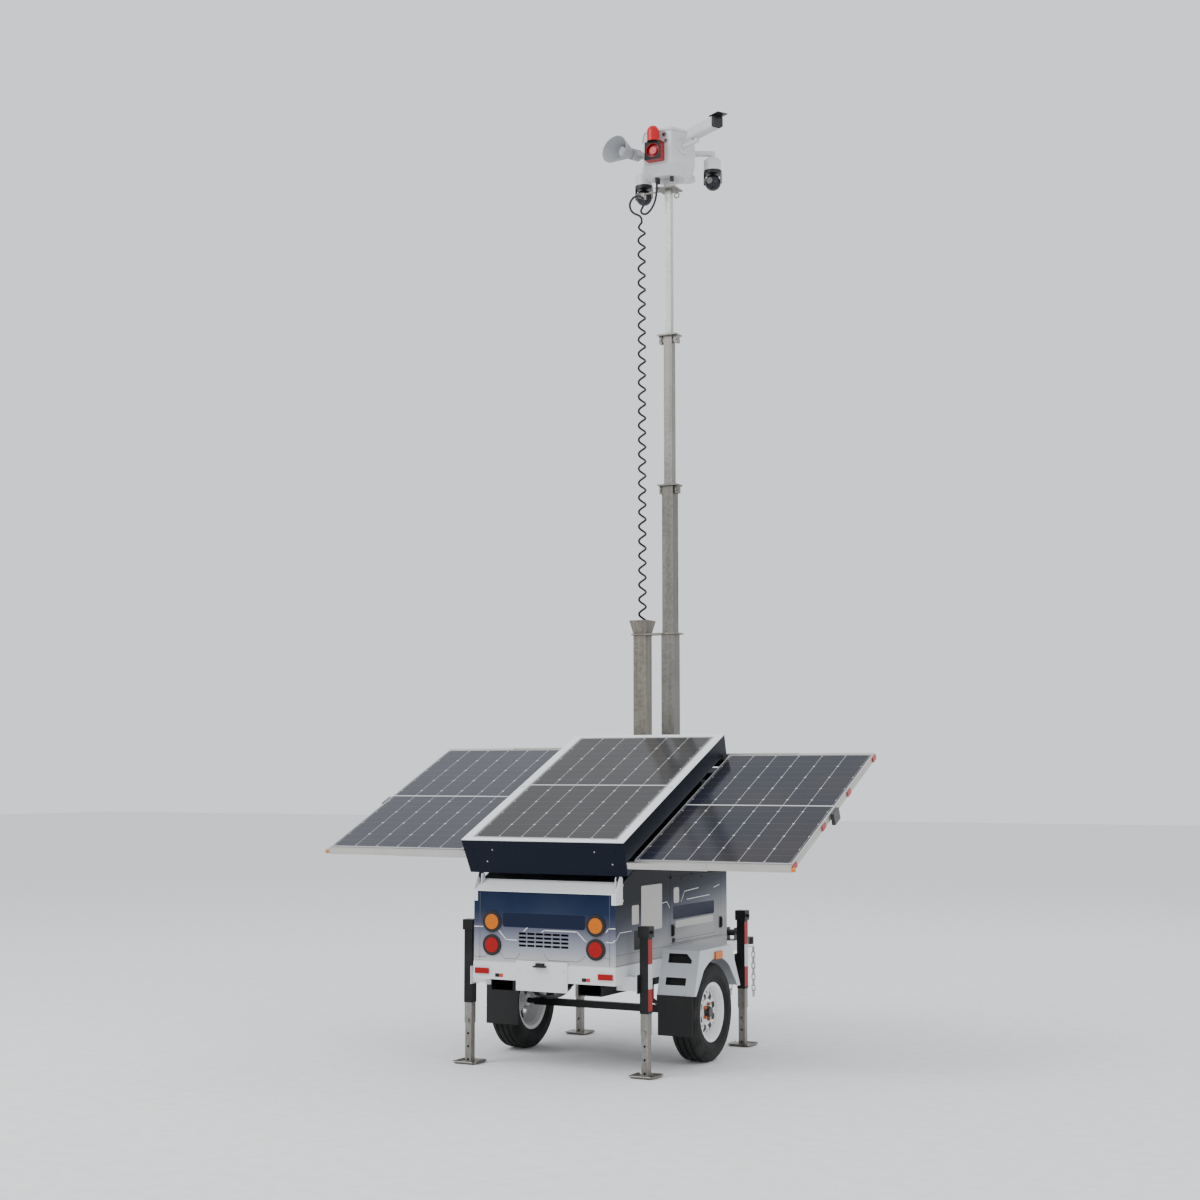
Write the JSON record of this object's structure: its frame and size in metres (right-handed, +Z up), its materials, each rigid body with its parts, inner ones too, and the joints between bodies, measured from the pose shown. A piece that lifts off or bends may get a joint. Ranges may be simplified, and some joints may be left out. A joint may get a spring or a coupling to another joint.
{
  "type": "solar surveillance tower trailer",
  "caption": "Towable cabinet trailer with a tilted solar array, slide-out trays, drop-leg jacks and a telescoping camera mast.",
  "frame": {"origin": "middle of the footprint on the ground, midway between the array rear edge and the coupler nose", "axes": "+X right seen from behind, +Y forward to the coupler, +Z up along the mast"},
  "size_m": [3.66, 3.667, 7.185],
  "materials": {
    "white_paint": "satin powder coat",
    "cabinet_wrap": "printed wrap, satin",
    "navy_paint": "gloss",
    "black_paint": "semi-gloss",
    "galvanised": "hot-dip galvanised",
    "zinc": "bright zinc",
    "anodised": "anodised",
    "module_glass": "glossy laminate",
    "rubber": "matt",
    "tyre": "matt",
    "red_lens": "gloss",
    "amber_lens": "gloss",
    "white_plastic": "satin",
    "grey_plastic": "matt",
    "black_plastic": "satin",
    "battery_case": "matt"
  },
  "bodies": {
    "trailer": {"chassis_frame": "white_paint", "fork_pockets": "black_paint", "rear_bumper": "white_paint", "lamp_grommets": "rubber", "red_lamps": "red_lens", "amber_lamps": "amber_lens", "cabinet_shell": "cabinet_wrap", "rear_cap": "white_paint", "power_bank": "battery_case", "axle_beam": "black_paint", "leaf_springs": "black_paint", "fenders": "white_paint", "fender_rubber": "rubber", "jack_tubes": "black_paint", "mast_base": "galvanised", "mast_brackets": "galvanised", "lift_cables": "zinc", "cord_tube": "galvanised", "cord_coil": "rubber", "winch": "black_paint", "coupler": "black_paint", "safety_chains": "zinc"},
    "door": {"service_door": "cabinet_wrap", "door_latches": "black_plastic"},
    "wheel_l": {"wheel_left": "white_paint", "tyre_left": "tyre"},
    "wheel_r": {"wheel_right": "white_paint", "tyre_right": "tyre"},
    "array": {"array_box": "navy_paint", "array_rim": "white_paint", "top_module": "module_glass", "slide_channels": "anodised"},
    "mid_l": {"slide_mid_left": "anodised"},
    "mid_r": {"slide_mid_right": "anodised"},
    "tray_l": {"tray_frame_left": "anodised", "tray_module_left": "module_glass"},
    "tray_r": {"tray_frame_right": "anodised", "tray_module_right": "module_glass"},
    "mast_2": {"mast_section_2": "galvanised"},
    "mast_3": {"mast_section_3": "galvanised"},
    "mast_4": {"mast_section_4": "galvanised", "head_housing": "white_plastic", "sounder_beacon": "red_lens", "cord_lead": "rubber"},
    "horn": {"horn_speaker": "grey_plastic"},
    "bullet": {"bullet_camera": "white_plastic"},
    "ptz_pan_l": {"ptz_ring_left": "black_plastic"},
    "ptz_pan_r": {"ptz_ring_right": "black_plastic"},
    "ptz_tilt_l": {"ptz_eye_left": "black_plastic"},
    "ptz_tilt_r": {"ptz_eye_right": "black_plastic"},
    "crank": {"winch_crank": "zinc"},
    "hitch_latch": {"coupler_latch": "zinc"},
    "ram_rear_left": {"jack_ram_rear_left": "galvanised"},
    "leg_rear_left": {"jack_leg_rear_left": "galvanised"},
    "ram_rear_right": {"jack_ram_rear_right": "galvanised"},
    "leg_rear_right": {"jack_leg_rear_right": "galvanised"},
    "ram_front_left": {"jack_ram_front_left": "galvanised"},
    "leg_front_left": {"jack_leg_front_left": "galvanised"},
    "ram_front_right": {"jack_ram_front_right": "galvanised"},
    "leg_front_right": {"jack_leg_front_right": "galvanised"}
  },
  "joints": [
    {"name": "wheel_spin_l", "type": "hinge", "parent": "trailer", "child": "wheel_l", "pos_m": [-0.728, -0.7905, 0.347], "axis": [1, 0, 0], "continuous": true},
    {"name": "wheel_spin_r", "type": "hinge", "parent": "trailer", "child": "wheel_r", "pos_m": [0.728, -0.7905, 0.347], "axis": [1, 0, 0], "continuous": true},
    {"name": "door_lift", "type": "hinge", "parent": "trailer", "child": "door", "pos_m": [0.558, -0.479, 1.288], "axis": [0, -1, 0], "range_deg": [0, 95]},
    {"name": "array_lift", "type": "hinge", "parent": "trailer", "child": "array", "pos_m": [0, -1.7165, 1.316], "axis": [1, 0, 0], "range_deg": [0, 30]},
    {"name": "tray_slide_l", "type": "slide", "parent": "array", "child": "tray_l", "axis": [-1, 0, 0], "range_m": [-1.17, 0]},
    {"name": "mid_slide_l", "type": "slide", "parent": "array", "child": "mid_l", "axis": [-1, 0, 0], "range_m": [-0.585, 0]},
    {"name": "tray_slide_r", "type": "slide", "parent": "array", "child": "tray_r", "axis": [1, 0, 0], "range_m": [-1.17, 0]},
    {"name": "mid_slide_r", "type": "slide", "parent": "array", "child": "mid_r", "axis": [1, 0, 0], "range_m": [-0.585, 0]},
    {"name": "mast_slide_2", "type": "slide", "parent": "trailer", "child": "mast_2", "axis": [0, 0, 1], "range_m": [-1.085, 0], "deforming": ["lift_cables", "cord_coil"]},
    {"name": "mast_slide_3", "type": "slide", "parent": "mast_2", "child": "mast_3", "axis": [0, 0, 1], "range_m": [-1.085, 0]},
    {"name": "mast_slide_4", "type": "slide", "parent": "mast_3", "child": "mast_4", "axis": [0, 0, 1], "range_m": [-1.085, 0]},
    {"name": "jack_ram_rear_left", "type": "slide", "parent": "trailer", "child": "ram_rear_left", "axis": [0, 0, 1], "range_m": [0, 0.1]},
    {"name": "drop_leg_rear_left", "type": "slide", "parent": "ram_rear_left", "child": "leg_rear_left", "axis": [0, 0, 1], "range_m": [0, 0.27]},
    {"name": "jack_ram_rear_right", "type": "slide", "parent": "trailer", "child": "ram_rear_right", "axis": [0, 0, 1], "range_m": [0, 0.1]},
    {"name": "drop_leg_rear_right", "type": "slide", "parent": "ram_rear_right", "child": "leg_rear_right", "axis": [0, 0, 1], "range_m": [0, 0.27]},
    {"name": "jack_ram_front_left", "type": "slide", "parent": "trailer", "child": "ram_front_left", "axis": [0, 0, 1], "range_m": [0, 0.1]},
    {"name": "drop_leg_front_left", "type": "slide", "parent": "ram_front_left", "child": "leg_front_left", "axis": [0, 0, 1], "range_m": [0, 0.27]},
    {"name": "jack_ram_front_right", "type": "slide", "parent": "trailer", "child": "ram_front_right", "axis": [0, 0, 1], "range_m": [0, 0.1]},
    {"name": "drop_leg_front_right", "type": "slide", "parent": "ram_front_right", "child": "leg_front_right", "axis": [0, 0, 1], "range_m": [0, 0.27]},
    {"name": "horn_tilt", "type": "hinge", "parent": "mast_4", "child": "horn", "pos_m": [-0.2124, 0.07406, 7], "axis": [0.9165, -0.4, 0], "range_deg": [-15, 15]},
    {"name": "bullet_roll", "type": "hinge", "parent": "mast_4", "child": "bullet", "pos_m": [0.18638, 0.15489, 7.03], "axis": [0.866, -0.5, 0], "range_deg": [-30, 30]},
    {"name": "ptz_pan_l", "type": "hinge", "parent": "mast_4", "child": "ptz_pan_l", "pos_m": [-0.31004, 0.4415, 6.7607], "axis": [0, 0, 1], "continuous": true},
    {"name": "ptz_tilt_l", "type": "hinge", "parent": "ptz_pan_l", "child": "ptz_tilt_l", "pos_m": [-0.31004, 0.4415, 6.7607], "axis": [1, 0, 0], "range_deg": [-15, 90]},
    {"name": "ptz_pan_r", "type": "hinge", "parent": "mast_4", "child": "ptz_pan_r", "pos_m": [0.31004, 0.4415, 6.7967], "axis": [0, 0, 1], "continuous": true},
    {"name": "ptz_tilt_r", "type": "hinge", "parent": "ptz_pan_r", "child": "ptz_tilt_r", "pos_m": [0.31004, 0.4415, 6.7967], "axis": [1, 0, 0], "range_deg": [-15, 90]},
    {"name": "crank_turn", "type": "hinge", "parent": "trailer", "child": "crank", "pos_m": [0.064, 1.4485, 0.702], "axis": [1, 0, 0], "continuous": true},
    {"name": "coupler_lift", "type": "hinge", "parent": "trailer", "child": "hitch_latch", "pos_m": [0, 1.7235, 0.654], "axis": [1, 0, 0], "range_deg": [-75, 0]}
  ],
  "couplings": [
    {"joint": "mid_slide_l", "follows": "tray_slide_l", "ratio": 0.5},
    {"joint": "mid_slide_r", "follows": "tray_slide_r", "ratio": 0.5},
    {"joint": "mast_slide_3", "follows": "mast_slide_2", "ratio": 1},
    {"joint": "mast_slide_4", "follows": "mast_slide_2", "ratio": 1}
  ]
}
